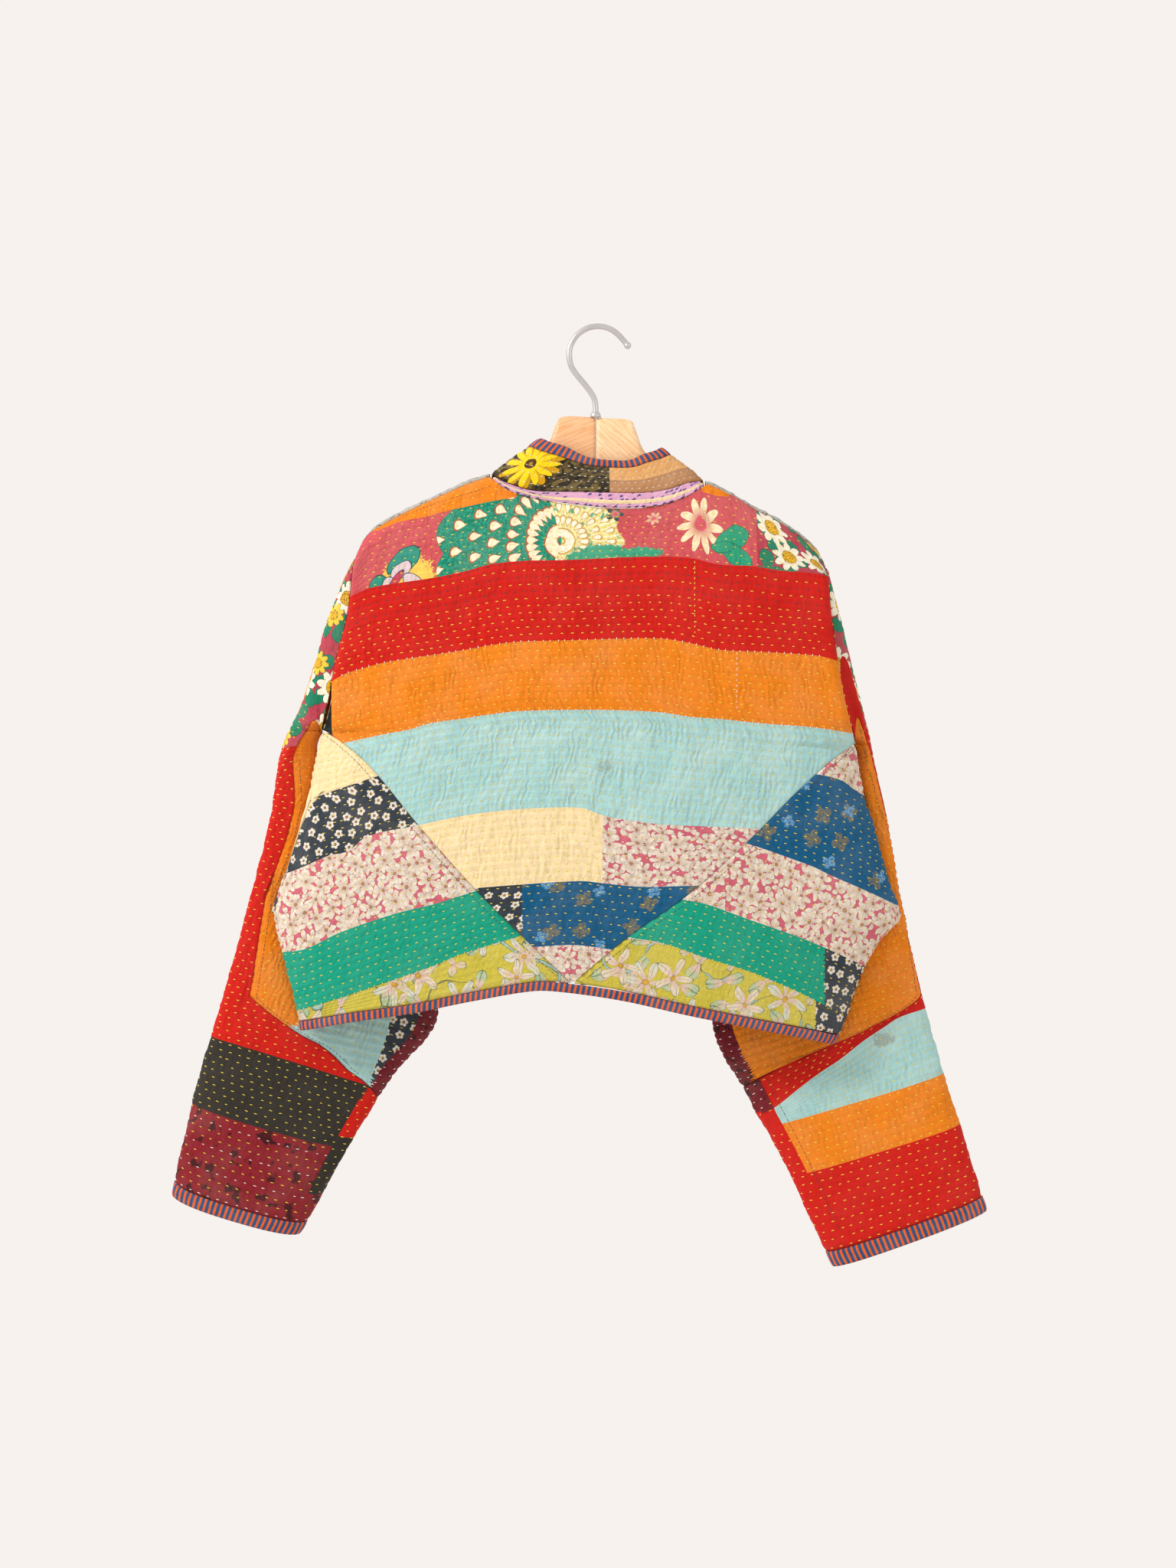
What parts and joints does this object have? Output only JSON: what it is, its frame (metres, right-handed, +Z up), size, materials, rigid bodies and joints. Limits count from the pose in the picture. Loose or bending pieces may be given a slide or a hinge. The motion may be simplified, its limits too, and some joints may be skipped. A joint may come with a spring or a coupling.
{
  "type": "kantha jacket on a wooden hanger",
  "caption": "Cropped open-front quilted patchwork jacket with wide dropped sleeves and a stand collar, hanging on a wooden hanger with a metal hook.",
  "frame": {"origin": "inner top of the hanger's hook, where it rests on what carries it", "axes": "+Z up, -Y towards the side that the jacket's back faces, +X to the right as the back is looked at"},
  "size_m": [0.7294, 0.0971, 0.8402],
  "materials": {
    "back_patchwork": "quilted cotton patchwork: red, orange, sky blue, cream and floral print bands with yellow running stitches",
    "side_patchwork": "quilted cotton patchwork: daisy print, floral pink, blue, green and yellow strips",
    "front_patchwork": "quilted cotton patchwork, grey print at the shoulders",
    "sleeve_patchwork": "quilted cotton patchwork: red, charcoal, maroon, sky blue and orange strips",
    "gusset_patchwork": "quilted cotton patchwork: orange, sky blue and daisy print",
    "collar_print": "quilted printed cotton, dark olive brown with a yellow flower, ochre and tan",
    "tape_print": "lavender printed cotton",
    "striped_binding": "blue and orange-red striped cotton",
    "beech": "clear-lacquered light wood",
    "hook_wire": "bright plated wire"
  },
  "bodies": {
    "root": {"back_panel": "back_patchwork", "back_side_left": "side_patchwork", "front_left": "front_patchwork", "sleeve_left": "sleeve_patchwork", "underarm_gusset_left": "gusset_patchwork", "cuff_binding_left": "striped_binding", "front_binding_left": "striped_binding", "back_side_right": "side_patchwork", "front_right": "front_patchwork", "sleeve_right": "sleeve_patchwork", "underarm_gusset_right": "gusset_patchwork", "cuff_binding_right": "striped_binding", "front_binding_right": "striped_binding", "collar": "collar_print", "collar_binding": "striped_binding", "neck_tape": "tape_print", "hem_binding": "striped_binding", "hanger_arm_left": "beech", "hanger_arm_right": "beech", "hanger_hook": "hook_wire"}
  },
  "joints": []
}
